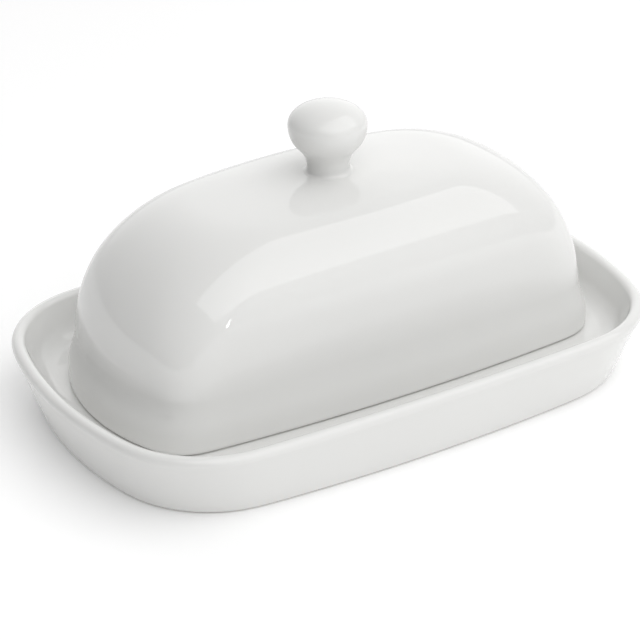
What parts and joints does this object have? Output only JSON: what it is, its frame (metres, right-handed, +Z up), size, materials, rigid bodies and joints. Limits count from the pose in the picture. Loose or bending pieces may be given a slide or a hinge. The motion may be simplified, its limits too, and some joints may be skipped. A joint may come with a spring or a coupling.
{
  "type": "butter dish",
  "caption": "White glazed porcelain butter dish: a flared oblong tray with a rounded rim and a loose domed lid with a ball knob, covering a block of butter",
  "frame": {"origin": "centre of the underside of the tray's foot ring, on the table", "axes": "+X along the dish, +Y across it, +Z up"},
  "size_m": [0.2, 0.1282, 0.0964],
  "materials": {
    "tray": "glossy white glaze over porcelain, bare foot ring",
    "lid_dome": "glossy white glaze over porcelain, bare lid edge",
    "lid_knob": "glossy white glaze over porcelain"
  },
  "bodies": {
    "tray": {"tray": "tray"},
    "lid": {"lid_dome": "lid_dome", "lid_knob": "lid_knob"}
  },
  "joints": [
    {"name": "lid_lift", "type": "slide", "parent": "tray", "child": "lid", "axis": [0, 0, 1], "range_m": [0, 0.12]}
  ]
}
